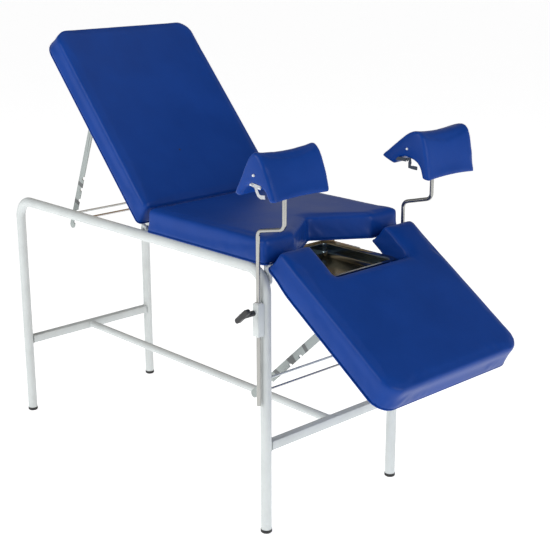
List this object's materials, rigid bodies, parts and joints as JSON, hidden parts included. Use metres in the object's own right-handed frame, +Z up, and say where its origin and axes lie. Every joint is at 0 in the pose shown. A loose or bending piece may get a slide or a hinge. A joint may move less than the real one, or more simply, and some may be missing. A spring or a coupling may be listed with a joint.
{
  "type": "examination couch",
  "caption": "Examination couch with a raised ratchet backrest, cut-out seat, dropped foot section, sliding steel tray and two padded leg rests on cranked rods in a white tube frame.",
  "frame": {"origin": "on the floor, under the middle of the couch's overall box as it stands with backrest raised and foot section dropped", "axes": "+X towards the foot end, +Y towards the far side, +Z up"},
  "size_m": [1.724, 0.83, 1.3761],
  "materials": {
    "vinyl": "semi-gloss blue upholstery vinyl with a fine grain",
    "plywood": "plain plywood with sealed edges",
    "rubber": "matt black",
    "black_plastic": "matt black moulded",
    "white_plastic": "white moulded nylon",
    "shell_plastic": "dark moulded plastic",
    "stainless": "brushed stainless steel",
    "white_paint": "off-white powder coat, satin",
    "zinc": "bright zinc plate"
  },
  "bodies": {
    "frame": {"side_frame_near": "white_paint", "side_frame_far": "white_paint", "head_crossbar": "white_paint", "foot_crossbar": "white_paint", "centre_stretcher": "white_paint", "seat_cross_tube": "white_paint", "head_support_rod": "white_paint", "head_stop_rod": "stainless", "foot_support_rod": "white_paint", "foot_stop_rod": "stainless", "rubber_feet": "rubber", "back_hinge_lugs": "white_paint", "back_hinge_pins": "zinc", "foot_hinge_lugs": "white_paint", "foot_hinge_pins": "zinc", "seat_tabs": "white_paint", "seat_screws": "zinc", "seat_board": "plywood", "seat_pad": "vinyl", "tray_runners": "stainless", "rod_sleeve_near": "white_paint", "rod_sleeve_far": "white_paint"},
    "backrest": {"back_arms": "zinc", "back_arm_screws": "zinc", "back_board": "plywood", "back_pad": "vinyl", "back_strut_brackets": "zinc", "back_strut_pins": "zinc"},
    "backrest_struts": {"back_struts": "white_paint"},
    "foot_section": {"foot_arms": "zinc", "foot_arm_screws": "zinc", "foot_board": "plywood", "foot_pad": "vinyl", "foot_strut_brackets": "zinc", "foot_strut_pins": "zinc"},
    "foot_section_struts": {"foot_struts": "white_paint"},
    "tray": {"tray": "stainless"},
    "near_bush": {"guide_bush_near": "white_plastic"},
    "near_rod": {"cranked_rod_near": "stainless", "rod_eye_near": "stainless"},
    "near_leg_rest": {"rest_bracket_near": "zinc", "rest_bolt_near": "zinc", "rest_shell_near": "shell_plastic", "rest_pad_near": "vinyl", "rest_screws_near": "zinc"},
    "near_knob": {"clamp_knob_near": "black_plastic", "clamp_screw_near": "zinc"},
    "far_bush": {"guide_bush_far": "white_plastic"},
    "far_rod": {"cranked_rod_far": "stainless", "rod_eye_far": "stainless"},
    "far_leg_rest": {"rest_bracket_far": "zinc", "rest_bolt_far": "zinc", "rest_shell_far": "shell_plastic", "rest_pad_far": "vinyl", "rest_screws_far": "zinc"},
    "far_knob": {"clamp_knob_far": "black_plastic", "clamp_screw_far": "zinc"}
  },
  "joints": [
    {"name": "backrest_tilt", "type": "hinge", "parent": "frame", "child": "backrest", "pos_m": [-0.15701, 0, 0.8], "axis": [0, 1, 0], "range_deg": [-48.2, 6]},
    {"name": "backrest_strut_swing", "type": "hinge", "parent": "backrest", "child": "backrest_struts", "pos_m": [-0.43697, 0, 1.08491], "axis": [0, 1, 0], "range_deg": [-3.5, 25]},
    {"name": "foot_section_tilt", "type": "hinge", "parent": "frame", "child": "foot_section", "pos_m": [0.39549, 0, 0.8], "axis": [0, 1, 0], "range_deg": [-35, 25]},
    {"name": "foot_strut_swing", "type": "hinge", "parent": "foot_section", "child": "foot_section_struts", "pos_m": [0.57505, 0, 0.65718], "axis": [0, 1, 0], "range_deg": [-21, 29.5]},
    {"name": "tray_slide", "type": "slide", "parent": "frame", "child": "tray", "axis": [1, 0, 0], "range_m": [-0.25, 0]},
    {"name": "near_rod_swivel", "type": "hinge", "parent": "frame", "child": "near_bush", "pos_m": [0.40499, -0.297, 0.701], "axis": [0, 0, 1], "range_deg": [-90, 90]},
    {"name": "near_rod_height", "type": "slide", "parent": "near_bush", "child": "near_rod", "axis": [0, 0, 1], "range_m": [-0.02, 0.15]},
    {"name": "near_rest_tilt", "type": "hinge", "parent": "near_rod", "child": "near_leg_rest", "pos_m": [0.51499, -0.305, 1.041], "axis": [0, 1, 0], "range_deg": [-30, 30]},
    {"name": "near_knob_turn", "type": "hinge", "parent": "frame", "child": "near_knob", "pos_m": [0.40499, -0.325, 0.677], "axis": [0, -1, 0], "range_deg": [0, 360]},
    {"name": "far_rod_swivel", "type": "hinge", "parent": "frame", "child": "far_bush", "pos_m": [0.40499, 0.297, 0.701], "axis": [0, 0, 1], "range_deg": [-90, 90]},
    {"name": "far_rod_height", "type": "slide", "parent": "far_bush", "child": "far_rod", "axis": [0, 0, 1], "range_m": [-0.005, 0.15]},
    {"name": "far_rest_tilt", "type": "hinge", "parent": "far_rod", "child": "far_leg_rest", "pos_m": [0.50399, 0.305, 1.026], "axis": [0, 1, 0], "range_deg": [-30, 30]},
    {"name": "far_knob_turn", "type": "hinge", "parent": "frame", "child": "far_knob", "pos_m": [0.40499, 0.325, 0.677], "axis": [0, 1, 0], "range_deg": [0, 360]}
  ],
  "couplings": [
    {"joint": "backrest_strut_swing", "follows": "backrest_tilt", "ratio": -0.5},
    {"joint": "foot_strut_swing", "follows": "foot_section_tilt", "ratio": -0.82}
  ]
}
